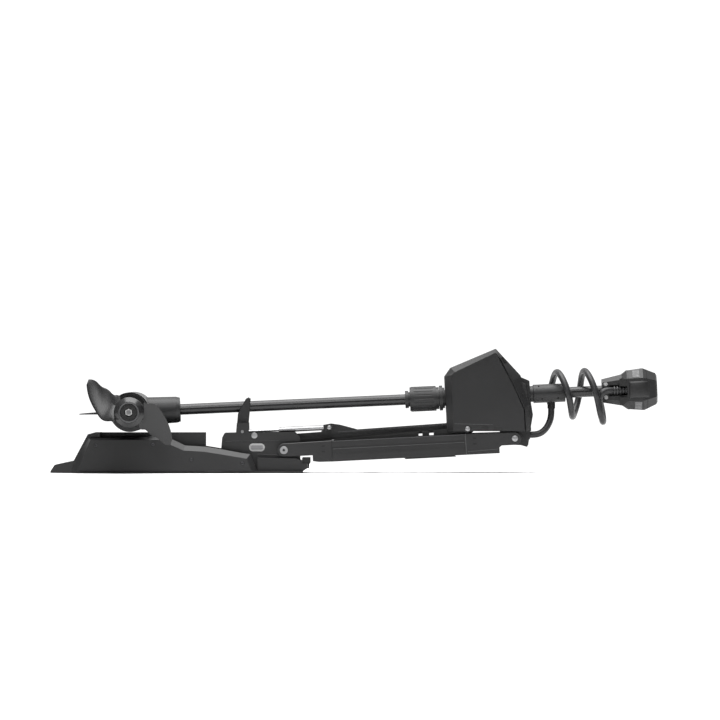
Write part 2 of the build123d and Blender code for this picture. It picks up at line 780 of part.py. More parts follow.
with BuildPart() as steering_pinion:
    with BuildSketch(shaft_plane(gear_u, gear_distance)):
        Polygon(*gear_outline(pinion_teeth, -pi / 2 + pi / pinion_teeth), align=None)
    extrude(amount=gear_width)
    with BuildSketch(shaft_plane(gear_u + gear_width, gear_distance)):
        Circle(4)
    extrude(amount=steer_motor_length - 4)
save(steering_pinion, "steering_pinion")

with BuildPart() as control_board:
    with Locations((870, 57, 250)):
        Box(70, 1.6, 60)
    for x in (840, 900):
        for z in (226, 274):
            with Locations((x, 57.8 + (68 - 57.8) / 2, z)):
                Cylinder(3, 68 - 57.8, rotation=(90, 0, 0))
save(control_board, "control_board")

# ================================================================ steering quill
quill_tube_u = quill_start_u + 16
quill_tube = rings_on_shaft(
    (quill_tube_u, collar_start_u - quill_tube_u, quill_r, shaft_r + running_gap))
save(quill_tube, "quill_tube")

barrel_u = 768.0
barrel_length = 69.0
ridge_count = 20
with BuildPart() as neck_barrel:
    with BuildSketch(shaft_plane(barrel_u)):
        Circle(barrel_r)
        Circle(quill_r, mode=Mode.SUBTRACT)
    extrude(amount=barrel_length)
    with BuildSketch(shaft_plane(barrel_u + 8)):
        with PolarLocations(barrel_r + 1.6, ridge_count):
            Circle(2.6)
    extrude(amount=barrel_length - 16, mode=Mode.SUBTRACT)
    with BuildSketch(shaft_plane(barrel_u + barrel_length)):
        Circle(barrel_r - 4)
        Circle(quill_r, mode=Mode.SUBTRACT)
    extrude(amount=8)
    for u, length, ring_r in ((quill_start_u, 9, 24), (quill_start_u + 9, 4, 20), (quill_start_u + 13, 3, 33)):
        with BuildSketch(shaft_plane(u)):
            Circle(ring_r)
            Circle(shaft_r + running_gap, mode=Mode.SUBTRACT)
        extrude(amount=length)
save(neck_barrel, "neck_barrel")

collar_screw_spots = ((16, 20), (24, -14), (68, -14))
with BuildPart() as depth_collar:
    with BuildSketch(shaft_plane(collar_start_u)):
        Circle(collar_r)
        Circle(shaft_r + running_gap, mode=Mode.SUBTRACT)
    extrude(amount=collar_length)
    chamfer(depth_collar.edges().filter_by(GeomType.CIRCLE).group_by(SortBy.RADIUS)[-1], 1.0)
    for u, v in collar_screw_spots:
        y = -(collar_r**2 - v**2) ** 0.5
        with BuildSketch(Plane(origin=shaft_point(collar_start_u + u, v, y - 1), x_dir=along_shaft, z_dir=across)):
            Circle(2.4)
        extrude(amount=5, mode=Mode.SUBTRACT)
save(depth_collar, "depth_collar")

boot_x = 1049.0
boot_y = 14.0
boot_top_z = 195.0
boot_bottom_z = 176.0
with BuildPart() as cable_boot:
    with BuildSketch(Plane.XY.offset(boot_bottom_z)):
        with Locations((boot_x, boot_y)):
            Circle(cable_r + 1.6)
    extrude(amount=boot_top_z - boot_bottom_z)
    with BuildSketch(shaft_plane(collar_start_u - 20)):
        Circle(collar_r)
    extrude(amount=200, mode=Mode.SUBTRACT)
    with BuildSketch(Plane.XY.offset(boot_top_z)):
        with Locations((boot_x, boot_y)):
            Rectangle(40, 60)
    extrude(amount=30, mode=Mode.SUBTRACT)
save(cable_boot, "cable_boot")

# ================================================================ shaft, pod and head
shaft_start_u = 60.0
shaft_end_u = neck_start_u + neck_length + 20
shaft_tube = rings_on_shaft((shaft_start_u, shaft_end_u - shaft_start_u, shaft_r, shaft_bore_r))
save(shaft_tube, "shaft_tube")

socket_start_u = 36.0
with BuildPart() as pod_socket:
    with BuildSketch(shaft_plane(socket_start_u)):
        Circle(socket_r + 2)
    with BuildSketch(shaft_plane(socket_start_u + 48)):
        Circle(socket_r + 1)
    with BuildSketch(shaft_plane(socket_start_u + socket_length - 10)):
        Circle(socket_r)
    with BuildSketch(shaft_plane(socket_start_u + socket_length)):
        Circle(socket_r - 3)
    loft(ruled=True)
    with BuildSketch(pod_plane(-80)):
        Circle(pod_r)
    extrude(amount=160, mode=Mode.SUBTRACT)
    with BuildSketch(shaft_plane(shaft_start_u)):
        Circle(shaft_r)
    extrude(amount=100, mode=Mode.SUBTRACT)
save(pod_socket, "pod_socket")

with BuildPart() as pod_shell:
    with BuildSketch(pod_plane(pod_back_y)):
        Circle(pod_r)
        Circle(pod_r - pod_wall, mode=Mode.SUBTRACT)
    extrude(amount=pod_front_y - pod_back_y)
save(pod_shell, "pod_shell")

end_cap_length = 12.0
with BuildPart() as pod_end_cap:
    with BuildSketch(pod_plane(pod_back_y - end_cap_length)):
        Circle(pod_r - 4)
        Circle(pod_shaft_r + running_gap, mode=Mode.SUBTRACT)
    extrude(amount=end_cap_length)
    with BuildSketch(pod_plane(pod_back_y)):
        Circle(pod_r - pod_wall)
        Circle(pod_shaft_r + running_gap, mode=Mode.SUBTRACT)
    extrude(amount=6)
save(pod_end_cap, "pod_end_cap")

nose_middle = pod_centre + across * pod_front_y
nose_profile = []
for angle in (0, 12, 25, 38, 51, 64, 77):
    nose_profile.append((pod_r * cos(radians(angle)), nose_cone_length * sin(radians(angle))))
nose_profile.append((0, nose_cone_length))
with BuildPart() as pod_nose_cone:
    with BuildSketch(Plane(origin=nose_middle, x_dir=above_shaft, z_dir=-along_shaft)):
        with BuildLine():
            Spline(*nose_profile, tangents=((0, 1), (-1, 0)))
            Line((0, nose_cone_length), (0, 0))
            Line((0, 0), (pod_r, 0))
        make_face()
    revolve(axis=Axis(nose_middle, across))
    with BuildSketch(pod_plane(pod_front_y)):
        Circle(pod_r - pod_wall)
        Circle(pod_shaft_r + 2, mode=Mode.SUBTRACT)
    extrude(amount=-8)
save(pod_nose_cone, "pod_nose_cone")

skeg_root_thick = 9.0
skeg_tip_thick = 2.5
skeg_root_u = -50.0
skeg_tip_u = -141.0
with BuildPart() as skeg:
    with BuildSketch(Plane(origin=pod_centre, x_dir=across, z_dir=above_shaft)):
        # Drawn along the pod's axis and, downwards, along the shaft.
        Polygon((-100, -skeg_root_u), (60, -skeg_root_u), (10, -skeg_tip_u - 10),
                (-50, -skeg_tip_u), (-80, -skeg_tip_u), align=None)
    extrude(amount=skeg_root_thick, both=True)
    with BuildSketch(Plane(origin=pod_centre - across * 120, x_dir=along_shaft, z_dir=across)):
        Polygon((skeg_root_u, skeg_root_thick / 2), (skeg_tip_u, skeg_tip_thick / 2),
                (skeg_tip_u, -skeg_tip_thick / 2), (skeg_root_u, -skeg_root_thick / 2), align=None)
    extrude(amount=200, mode=Mode.INTERSECT)
    with BuildSketch(pod_plane(-140)):
        Circle(pod_r)
    extrude(amount=280, mode=Mode.SUBTRACT)
save(skeg, "skeg")

rotor_half = 62.0
with BuildPart() as motor_stator:
    with BuildSketch(pod_plane(-rotor_half)):
        Circle(pod_r - pod_wall)
        Circle(31, mode=Mode.SUBTRACT)
    extrude(amount=2 * rotor_half)
save(motor_stator, "motor_stator")

with BuildPart() as pod_bearings:
    for y in (-rotor_half - 30, rotor_half + 20):
        with BuildSketch(pod_plane(y)):
            Circle(pod_r - pod_wall)
            Circle(pod_shaft_r + running_gap, mode=Mode.SUBTRACT)
        extrude(amount=10)
save(pod_bearings, "pod_bearings")

with BuildPart() as motor_rotor:
    with BuildSketch(pod_plane(-rotor_half)):
        Circle(30)
        Circle(pod_shaft_r, mode=Mode.SUBTRACT)
    extrude(amount=2 * rotor_half)
save(motor_rotor, "motor_rotor")

prop_start_y = pod_back_y - end_cap_length - prop_gap
prop_end_y = prop_start_y - prop_hub_length
prop_cone_length = 14.0
prop_cone_r = 29.0
nut_length = 9.0
with BuildPart() as prop_shaft:
    with BuildSketch(pod_plane(rotor_half + 40)):
        Circle(pod_shaft_r)
    extrude(amount=-(rotor_half + 40 - prop_end_y + 2))
save(prop_shaft, "prop_shaft")

blade_stations = [
    # distance from the axis, offsets of the two edges, thickness
    (30, -43, 22, 7.0), (53, -44.5, 31, 6.0), (80, -34, 39, 4.6), (108, -10, 46, 3.6),
    (126, 13, 49, 2.6), (135, 30, 46, 1.8),
]
blade_lean = radians(160)
blade_zero = radians(175)


def blade_sections(turn):
    """Planes and sizes of one blade's sections, tip first; turn is the blade's own angle."""
    sections = []
    lean = blade_lean + turn
    out = Vector(cos(lean), 0, sin(lean))
    sideways = Vector(sin(lean), 0, -cos(lean))
    middle_y = (prop_start_y + prop_end_y) / 2
    for distance, near, far, thick in reversed(blade_stations):
        ends = []
        for offset in (near, far):
            angle = blade_lean - atan2(offset, distance)
            back = prop_pitch * (angle - blade_zero) / (2 * pi)
            edge = pod_centre + out * distance + sideways * offset
            ends.append(edge + across * (middle_y - back))
        chord = ends[1] - ends[0]
        plane = Plane(origin=(ends[0] + ends[1]) / 2, x_dir=chord, z_dir=out)
        sections.append((plane, chord.length, thick))
    return sections


def blade(turn):
    """One propeller blade, its root inside the hub."""
    with BuildPart() as piece:
        for plane, chord, thick in blade_sections(turn):
            with BuildSketch(plane):
                Ellipse(chord / 2, thick / 2)
        loft()
    return piece.part


nut_recess_r = 19.0
nut_recess_depth = 10.0
hub_profile = [
    (0, prop_start_y), (prop_hub_r, prop_start_y), (prop_hub_r, prop_end_y + prop_cone_length),
    (prop_cone_r, prop_end_y), (0, prop_end_y),
]
with BuildPart() as propeller:
    with BuildSketch(Plane(origin=pod_centre, x_dir=above_shaft, z_dir=-along_shaft)):
        Polygon(*hub_profile, align=None)
    revolve(axis=Axis(pod_centre, across))
    add(blade(0))
    add(blade(pi))
    with BuildSketch(pod_plane(prop_end_y)):
        Circle(nut_recess_r)
    extrude(amount=nut_recess_depth, mode=Mode.SUBTRACT)
    with BuildSketch(pod_plane(prop_start_y)):
        Circle(pod_shaft_r)
    extrude(amount=-prop_hub_length, mode=Mode.SUBTRACT)
save(propeller, "propeller")

with BuildPart() as prop_nut:
    with BuildSketch(pod_plane(prop_end_y + nut_recess_depth)):
        RegularPolygon(10, 6)
        Circle(pod_shaft_r, mode=Mode.SUBTRACT)
    extrude(amount=-nut_length)
save(prop_nut, "prop_nut")


def cut_square(half_y, half_v, cut):
    """A rectangle in a shaft plane with its four corners cut off."""
    points = [(half_y, half_v - cut), (half_y - cut, half_v)]
    points += [(-y, v) for y, v in reversed(points)]
    points += [(-y, -v) for y, v in points]
    return Polygon(*points, align=None)


relief_r = 12.5
relief_y = -34.0
relief_pocket = (47.0, 30.0)
neck_screw_v = (18.0, -18.0)
neck_screw_r = 5.5
neck_seat_y = -29.5
relief_start_u = neck_start_u + 30
relief_length = 40.0
with BuildPart() as head_neck:
    with BuildSketch(shaft_plane(neck_start_u)):
        cut_square(30, 32, 9)
    with BuildSketch(shaft_plane(neck_start_u + neck_length)):
        cut_square(38, 43, 14)
    loft(ruled=True)
    with BuildSketch(shaft_plane(neck_start_u - 1)):
        Circle(shaft_r)
    extrude(amount=100, mode=Mode.SUBTRACT)
    with BuildSketch(shaft_plane(relief_start_u - 12, 0, relief_y - 10)):
        Rectangle(*relief_pocket)
    extrude(amount=100, mode=Mode.SUBTRACT)
    for v in neck_screw_v:
        seat = shaft_point(neck_start_u + 9, v, neck_seat_y)
        with BuildSketch(Plane(origin=seat, x_dir=along_shaft, z_dir=-across)):
            Circle(neck_screw_r)
        extrude(amount=20, mode=Mode.SUBTRACT)
save(head_neck, "head_neck")

head_start_u = neck_start_u + neck_length
head_stations = [(0, 42, 43, 17), (14, 51, 53, 22), (58, 56, 57.5, 26), (head_length - 4, 42, 43, 20), (head_length, 36, 37, 18)]
with BuildPart() as head_shell:
    for u, half_y, half_v, cut in head_stations:
        with BuildSketch(shaft_plane(head_start_u + u)):
            cut_square(half_y, half_v, cut)
    loft(ruled=True)
    for u, half_y, half_v, cut in head_stations[1:4]:
        with BuildSketch(shaft_plane(head_start_u + u + (2 if u < 60 else -2))):
            cut_square(half_y - 4, half_v - 4, cut - 2)
    loft(ruled=True, mode=Mode.SUBTRACT)
    with BuildSketch(shaft_plane(head_start_u - 1)):
        Circle(shaft_r)
    extrude(amount=30, mode=Mode.SUBTRACT)
    with BuildSketch(shaft_plane(head_start_u - 1, 0, relief_y - 10)):
        Rectangle(*relief_pocket)
    extrude(amount=18, mode=Mode.SUBTRACT)
save(head_shell, "head_shell")

with BuildPart() as head_board:
    with BuildSketch(shaft_plane(head_start_u + 50)):
        Circle(45)
        Circle(30, mode=Mode.SUBTRACT)
    extrude(amount=2)
save(head_board, "head_board")

with BuildPart() as head_relief:
    for rib in range(5):
        with BuildSketch(shaft_plane(relief_start_u + rib * relief_length / 5, 0, relief_y)):
            Circle(relief_r)
        extrude(amount=relief_length / 5 - 3.2)
        with BuildSketch(shaft_plane(relief_start_u + (rib + 1) * relief_length / 5 - 3.2, 0, relief_y)):
            Circle(relief_r - 3)
        extrude(amount=3.2)
save(head_relief, "head_relief")

with BuildPart() as neck_screws:
    for v in neck_screw_v:
        seat = shaft_point(neck_start_u + 9, v, neck_seat_y)
        with BuildSketch(Plane(origin=seat, x_dir=along_shaft, z_dir=-across)):
            Circle(neck_screw_r)
        extrude(amount=4.5)
save(neck_screws, "neck_screws")

# ================================================================ cables
def cable_path(points, radius_share=0.49):
    """Straight runs through the points joined by arcs as large as the runs allow."""
    radii = []
    for before, here, after in zip(points, points[1:], points[2:]):
        a, b = Vector(*here) - Vector(*before), Vector(*after) - Vector(*here)
        turn = radians(a.get_angle(b))
        radii.append(radius_share * min(a.length, b.length) / tan(turn / 2))
    print("cable radii", [round(r, 1) for r in radii])
    return radii


def cable_tube(points):
    """A plain round cable along the points."""
    radii = cable_path(points)
    with BuildPart() as tube:
        with BuildLine() as path:
            FilletPolyline(*points, radius=radii)
        start = Plane(origin=points[0], z_dir=Vector(*points[1]) - Vector(*points[0]))
        with BuildSketch(start):
            Circle(cable_r)
        sweep(path=path.wires()[0])
    print("volume", round(tube.part.volume), "expected", round(pi * cable_r**2 * path.wires()[0].length))
    return tube


tail_route = [
    (990, 0, 104), (1004, 0, 104), (1019, 1.5, 108), (1032, 5, 118), (1041, 9, 132),
    (1047, 12.5, 147), (1049, 14, 162), (1049, 14, 176),
]
cable_tail = cable_tube(tail_route)
save(cable_tail, "cable_tail")

coil_start_u = 1168.0
coil_length = 122.0
coil_middle_r = 64.0
coil_drop = -5.0
with BuildPart() as cable_coil:
    with BuildSketch(shaft_plane(coil_start_u, coil_drop)):
        Circle(coil_middle_r + cable_r + 1)
        Circle(coil_middle_r - cable_r - 1, mode=Mode.SUBTRACT)
    extrude(amount=coil_length)
save(cable_coil, "cable_coil")

# Two free stretches: from the boot up behind the collar to the coil, and from the
# coil's last turn to the head's strain relief.
riser_route = [
    (1049, 27, 186), (1047, 39, 189), (1042, 49, 206), (1039.5, 50, 253.5), (1060, 50, 253.5),
]
lead_route = [
    (1187.5, -50, 181), (1209.5, -52, 181), (1205, -50, 206), (1203.5, -45, 216), (1212.5, -40.5, 221.5),
]
with BuildPart() as cable_leads:
    for route in (riser_route, lead_route):
        add(cable_tube(route).part)
save(cable_leads, "cable_leads")
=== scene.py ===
"""Bow-mount electric trolling motor, folded flat on its deck mount: the visible pieces.

Metres, in the part's frame: +X inboard along the folded shaft, +Y to starboard, +Z up from the deck.
"""

import math

import bmesh
import bpy
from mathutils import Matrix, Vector


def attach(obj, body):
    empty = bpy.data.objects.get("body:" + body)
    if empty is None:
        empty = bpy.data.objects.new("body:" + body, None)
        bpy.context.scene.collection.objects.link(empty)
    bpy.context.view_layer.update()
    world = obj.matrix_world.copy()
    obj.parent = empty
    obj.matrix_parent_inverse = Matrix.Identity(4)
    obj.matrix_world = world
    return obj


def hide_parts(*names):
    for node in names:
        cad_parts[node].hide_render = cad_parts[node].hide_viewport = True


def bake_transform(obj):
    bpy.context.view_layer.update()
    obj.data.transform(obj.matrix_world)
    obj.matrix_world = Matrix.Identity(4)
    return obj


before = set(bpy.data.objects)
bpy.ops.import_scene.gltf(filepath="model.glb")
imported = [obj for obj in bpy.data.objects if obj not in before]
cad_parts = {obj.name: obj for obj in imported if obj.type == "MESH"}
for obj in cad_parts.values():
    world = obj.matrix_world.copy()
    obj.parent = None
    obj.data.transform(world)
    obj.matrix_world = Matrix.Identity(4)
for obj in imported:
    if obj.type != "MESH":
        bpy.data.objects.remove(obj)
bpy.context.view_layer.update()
scene = bpy.context.scene
scene.view_settings.view_transform = "Standard"

# ---------------------------------------------------------------- camera
# A long lens level with the folded shaft, square to the motor's port side.
view_centre = Vector((0.5225, 0.0, 0.3094))
view_distance = 15.0
view_width = 1.98
camera_data = bpy.data.cameras.new("camera")
camera_data.sensor_width = 36.0
camera_data.lens = camera_data.sensor_width * view_distance / view_width
camera_data.clip_end = 60.0
camera = bpy.data.objects.new("camera", camera_data)
camera.location = view_centre - Vector((0, view_distance, 0))
camera.rotation_euler = (math.pi / 2, 0, 0)
scene.collection.objects.link(camera)
scene.camera = camera

# ---------------------------------------------------------------- cable jacket
# One 18 mm rubber-jacketed cable carries power and steering signals. It leaves the
# housing's floor, enters the boot under the collar, and winds round the shaft to the head.
cable_diameter = 0.018
mm = 1000  # millimetres in a metre


def shader(name):
    """A new material with its Principled shader and node tree."""
    material = bpy.data.materials.new(name)
    material.use_nodes = True
    tree = material.node_tree
    return material, tree, tree.nodes["Principled BSDF"]


def grain_group():
    """Mottled tone, roughness and height of a moulded or coated surface."""
    group = bpy.data.node_groups.new("surface_grain", "ShaderNodeTree")
    for label, kind, start in (
        ("Tone", "NodeSocketColor", (0.02, 0.02, 0.02, 1)),
        ("Pale Tone", "NodeSocketColor", (0.05, 0.05, 0.05, 1)),
        ("Grain Size", "NodeSocketFloat", 900.0),
        ("Patch Size", "NodeSocketFloat", 14.0),
        ("Patchiness", "NodeSocketFloat", 0.3),
        ("Low Roughness", "NodeSocketFloat", 0.4),
        ("High Roughness", "NodeSocketFloat", 0.6),
    ):
        socket = group.interface.new_socket(name=label, in_out="INPUT", socket_type=kind)
        socket.default_value = start
    for label, kind in (
        ("Color", "NodeSocketColor"), ("Roughness", "NodeSocketFloat"), ("Height", "NodeSocketFloat"),
    ):
        group.interface.new_socket(name=label, in_out="OUTPUT", socket_type=kind)
    nodes, links = group.nodes, group.links
    inward = nodes.new("NodeGroupInput")
    outward = nodes.new("NodeGroupOutput")
    place = nodes.new("ShaderNodeTexCoord")
    fine = nodes.new("ShaderNodeTexNoise")
    fine.inputs["Detail"].default_value = 3.0
    broad = nodes.new("ShaderNodeTexNoise")
    broad.inputs["Detail"].default_value = 5.0
    links.new(place.outputs["Object"], fine.inputs["Vector"])
    links.new(place.outputs["Object"], broad.inputs["Vector"])
    links.new(inward.outputs["Grain Size"], fine.inputs["Scale"])
    links.new(inward.outputs["Patch Size"], broad.inputs["Scale"])
    patches = nodes.new("ShaderNodeMapRange")
    patches.inputs["From Min"].default_value = 0.42
    patches.inputs["From Max"].default_value = 0.72
    links.new(broad.outputs["Fac"], patches.inputs["Value"])
    share = nodes.new("ShaderNodeMath")
    share.operation = "MULTIPLY"
    links.new(patches.outputs["Result"], share.inputs[0])
    links.new(inward.outputs["Patchiness"], share.inputs[1])
    tone = nodes.new("ShaderNodeMix")
    tone.data_type = "RGBA"
    links.new(share.outputs[0], tone.inputs["Factor"])
    links.new(inward.outputs["Tone"], tone.inputs["A"])
    links.new(inward.outputs["Pale Tone"], tone.inputs["B"])
    both = nodes.new("ShaderNodeMath")
    both.operation = "MULTIPLY_ADD"
    both.inputs[1].default_value = 0.5
    links.new(fine.outputs["Fac"], both.inputs[0])
    half = nodes.new("ShaderNodeMath")
    half.operation = "MULTIPLY"
    half.inputs[1].default_value = 0.5
    links.new(broad.outputs["Fac"], half.inputs[0])
    links.new(half.outputs[0], both.inputs[2])
    rough = nodes.new("ShaderNodeMapRange")
    links.new(both.outputs[0], rough.inputs["Value"])
    links.new(inward.outputs["Low Roughness"], rough.inputs["To Min"])
    links.new(inward.outputs["High Roughness"], rough.inputs["To Max"])
    links.new(tone.outputs["Result"], outward.inputs["Color"])
    links.new(rough.outputs["Result"], outward.inputs["Roughness"])
    links.new(fine.outputs["Fac"], outward.inputs["Height"])
    return group


surface_grain = grain_group()


def grained(name, tone, pale, grain=900.0, patch=14.0, patchiness=0.3, roughness=(0.4, 0.6),
            bump=0.15, depth=0.0002, metallic=0.0, coat=0.0, specular=0.5):
    """A material whose tone, gloss and fine height come from the surface grain group."""
    material, tree, surface = shader(name)
    effect = tree.nodes.new("ShaderNodeGroup")
    effect.node_tree = surface_grain
    effect.inputs["Tone"].default_value = (*tone, 1)
    effect.inputs["Pale Tone"].default_value = (*pale, 1)
    effect.inputs["Grain Size"].default_value = grain
    effect.inputs["Patch Size"].default_value = patch
    effect.inputs["Patchiness"].default_value = patchiness
    effect.inputs["Low Roughness"].default_value = roughness[0]
    effect.inputs["High Roughness"].default_value = roughness[1]
    relief = tree.nodes.new("ShaderNodeBump")
    relief.inputs["Strength"].default_value = bump
    relief.inputs["Distance"].default_value = depth
    tree.links.new(effect.outputs["Color"], surface.inputs["Base Color"])
    tree.links.new(effect.outputs["Roughness"], surface.inputs["Roughness"])
    tree.links.new(effect.outputs["Height"], relief.inputs["Height"])
    tree.links.new(relief.outputs["Normal"], surface.inputs["Normal"])
    surface.inputs["Metallic"].default_value = metallic
    surface.inputs["Coat Weight"].default_value = coat
    surface.inputs["Specular IOR Level"].default_value = specular
    return material


jacket = grained("cable_jacket", (0.014, 0.014, 0.015), (0.035, 0.035, 0.037), grain=1400, patch=40,
                 roughness=(0.36, 0.52), bump=0.2)


def laid_cable(name, route, node_names):
    """The cable as a tube along a smooth line through the route."""
    curve = bpy.data.curves.new(name, "CURVE")
    curve.dimensions = "3D"
    curve.resolution_u = 12
    line = curve.splines.new("NURBS")
    line.points.add(len(route) - 1)
    for point, spot in zip(line.points, route):
        point.co = (spot[0] / mm, spot[1] / mm, spot[2] / mm, 1)
    line.order_u = 3
    line.use_endpoint_u = True
    holder = bpy.data.objects.new(name + "_line", curve)
    scene.collection.objects.link(holder)
    bpy.context.view_layer.update()
    centre = bpy.data.meshes.new_from_object(holder.evaluated_get(bpy.context.evaluated_depsgraph_get()))
    curve.bevel_depth = cable_diameter / 2
    curve.bevel_resolution = 6
    curve.use_fill_caps = True
    bpy.context.view_layer.update()
    tube = bpy.data.meshes.new_from_object(holder.evaluated_get(bpy.context.evaluated_depsgraph_get()))
    bpy.data.objects.remove(holder)
    bpy.data.meshes.remove(centre)
    for face in tube.polygons:
        face.use_smooth = True
    piece = bpy.data.objects.new(name, tube)
    scene.collection.objects.link(piece)
    tube.materials.clear()
    tube.materials.append(jacket)
    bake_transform(piece)
    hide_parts(*node_names)


tail_route = [
    (990, 0, 104), (1004, 0, 104), (1019, 1.5, 108), (1032, 5, 118), (1041, 9, 132),
    (1047, 12.5, 147), (1049, 14, 162), (1049, 14, 176),
]
laid_cable("tail_cable", tail_route,
           node_names=["cable_tail"])

# ---------------------------------------------------------------- coiled cable
# The slack that lets the shaft slide is kept in turns around it, between the depth
# collar and the head's neck. The last turn doubles back into the head's strain relief.
shaft_tilt = math.radians(2.53)
pod_centre = Vector((-0.1045, 0, 0.1673))
along_shaft = Vector((math.cos(shaft_tilt), 0, math.sin(shaft_tilt)))
above_shaft = Vector((-math.sin(shaft_tilt), 0, math.cos(shaft_tilt)))
coil_r = 64.0
coil_drop = -5.0
turn_steps = [  # angle round the shaft from +Y over the top, and how far along X
    (30, 1053), (60, 1058), (90, 1064), (120, 1072), (150, 1083), (180, 1094), (210, 1100), (240, 1104), (270, 1107),
    (300, 1112), (330, 1121), (360, 1128.5), (390, 1132), (420, 1135), (450, 1139), (480, 1147), (510, 1158),
    (540, 1169), (562, 1175),
]


def round_shaft(angle, x):
    """A coil point in millimetres at an angle round the shaft."""
    turn = math.radians(angle)
    reach = x - pod_centre.x * mm
    axis_z = pod_centre.z * mm + reach * math.tan(shaft_tilt) + coil_drop
    return (x, coil_r * math.cos(turn), axis_z + coil_r * math.sin(turn))


coil_route = [(1049, 27, 186), (1048, 36, 187.5), (1045, 49, 196), (1044, 57, 212), (1048, 61, 230)]
coil_route += [round_shaft(angle, x) for angle, x in turn_steps]
coil_route += [
    (1181, -60, 163), (1187, -45, 145), (1190, -22, 138), (1191, -4, 148), (1188, -7, 170), (1183, -25, 189),
    (1179, -40, 202), (1184, -47, 216), (1194, -44, 225), (1205, -41.5, 226), (1217, -36, 226),
]
laid_cable("coiled_cable", coil_route,
           node_names=["cable_coil", "cable_leads"])

# ---------------------------------------------------------------- castings and mouldings
black_casting = grained("black_casting", (0.013, 0.013, 0.0135), (0.028, 0.028, 0.029), grain=700, patch=9,
                        roughness=(0.36, 0.5), bump=0.12)
black_plastic = grained("black_plastic", (0.011, 0.011, 0.0115), (0.022, 0.022, 0.023), grain=1100, patch=7,
                        roughness=(0.4, 0.55), bump=0.18)
black_composite = grained("black_composite", (0.010, 0.010, 0.0105), (0.02, 0.02, 0.021), grain=500, patch=10,
                          roughness=(0.5, 0.68), bump=0.3)
black_rubber = grained("black_rubber", (0.008, 0.008, 0.008), (0.018, 0.018, 0.018), grain=900, patch=30,
                       roughness=(0.6, 0.8), bump=0.3)
gloss_black = grained("gloss_black", (0.012, 0.012, 0.0125), (0.02, 0.02, 0.021), grain=300, patch=12,
                      roughness=(0.2, 0.32), bump=0.05)
light_plastic = grained("light_plastic", (0.42, 0.42, 0.42), (0.5, 0.5, 0.5), grain=900, patch=30,
                        roughness=(0.4, 0.55), bump=0.08)
pin_steel = grained("pin_steel", (0.32, 0.32, 0.325), (0.4, 0.4, 0.405), grain=1500, patch=60,
                    roughness=(0.25, 0.4), bump=0.05, metallic=1.0)
dark_steel = grained("dark_steel", (0.06, 0.06, 0.063), (0.12, 0.12, 0.125), grain=1500, patch=60,
                     roughness=(0.3, 0.45), bump=0.08, metallic=1.0)
bright_rod = grained("bright_rod", (0.4, 0.4, 0.41), (0.5, 0.5, 0.51), grain=1500, patch=60,
                     roughness=(0.1, 0.2), bump=0.02, metallic=1.0)
inner_alloy = grained("inner_alloy", (0.5, 0.5, 0.5), (0.6, 0.6, 0.6), grain=600, patch=20,
                      roughness=(0.35, 0.5), metallic=1.0)
gear_brass = grained("gear_brass", (0.62, 0.42, 0.16), (0.72, 0.52, 0.22), grain=1200, patch=40,
                     roughness=(0.25, 0.4), metallic=1.0)
bearing_white = grained("bearing_white", (0.7, 0.68, 0.62), (0.8, 0.79, 0.75), grain=900, patch=30)
board_green = grained("board_green", (0.02, 0.13, 0.05), (0.03, 0.2, 0.08), grain=900, patch=50)

node_finish = {
    "base_plate": black_casting, "nose_casting": black_casting, "side_covers": black_plastic,
    "cover_screws": dark_steel, "motor_rest": black_composite, "rubber_pads": black_rubber,
    "left_hinge_wall": black_casting, "right_hinge_wall": black_casting, "button_rim": light_plastic,
    "rear_cover": black_plastic, "cable_gland": black_rubber, "shaft_yoke": black_plastic,
    "hinge_pins": pin_steel, "release_button": light_plastic, "arm_knuckles": black_casting,
    "arm_rails": black_casting, "arm_forks": black_casting, "arm_screws": dark_steel,
    "arm_ties": black_casting, "elbow_pins": pin_steel, "link_rail": black_casting,
    "link_ends": black_casting, "spring_bracket": black_casting, "gas_cylinders": pin_steel,
    "gas_rods": bright_rod, "housing_left_shell": black_plastic, "housing_right_shell": black_plastic,
    "housing_end_cover": black_plastic, "link_elbow_pin": pin_steel, "neck_ring": black_plastic,
    "quill_bearings": bearing_white, "gearbox_frame": inner_alloy, "steering_motor": pin_steel,
    "control_board": board_green, "steering_pinion": gear_brass, "quill_tube": black_casting,
    "steering_gear": bearing_white, "neck_barrel": black_plastic, "depth_collar": black_plastic,
    "cable_boot": black_rubber, "shaft_tube": gloss_black, "pod_socket": black_plastic,
    "pod_shell": black_casting, "pod_end_cap": black_casting, "pod_nose_cone": black_casting,
    "skeg": black_plastic, "motor_stator": pin_steel, "pod_bearings": inner_alloy,
    "head_neck": black_plastic, "head_shell": black_plastic, "head_board": board_green,
    "head_relief": black_rubber, "neck_screws": light_plastic, "propeller": gloss_black,
    "prop_nut": light_plastic, "prop_shaft": pin_steel, "motor_rotor": dark_steel,
}
for node_name, finish in node_finish.items():
    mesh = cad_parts[node_name].data
    mesh.materials.clear()
    mesh.materials.append(finish)

# ---------------------------------------------------------------- cover screws
# Button-head screws hold each moulded side cover to the base. Each head has a round
# drive recess and sits inside a dark ring.


def finish_mesh(name, bm, body, material, smooth=False):
    """Turns built geometry into a piece that rides on a body."""
    bmesh.ops.remove_doubles(bm, verts=bm.verts, dist=1e-6)
    bmesh.ops.recalc_face_normals(bm, faces=bm.faces)
    mesh = bpy.data.meshes.new(name)
    bm.to_mesh(mesh)
    bm.free()
    for face in mesh.polygons:
        face.use_smooth = smooth
    mesh.materials.append(material)
    piece = bpy.data.objects.new(name, mesh)
    scene.collection.objects.link(piece)
    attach(piece, body)
    return piece


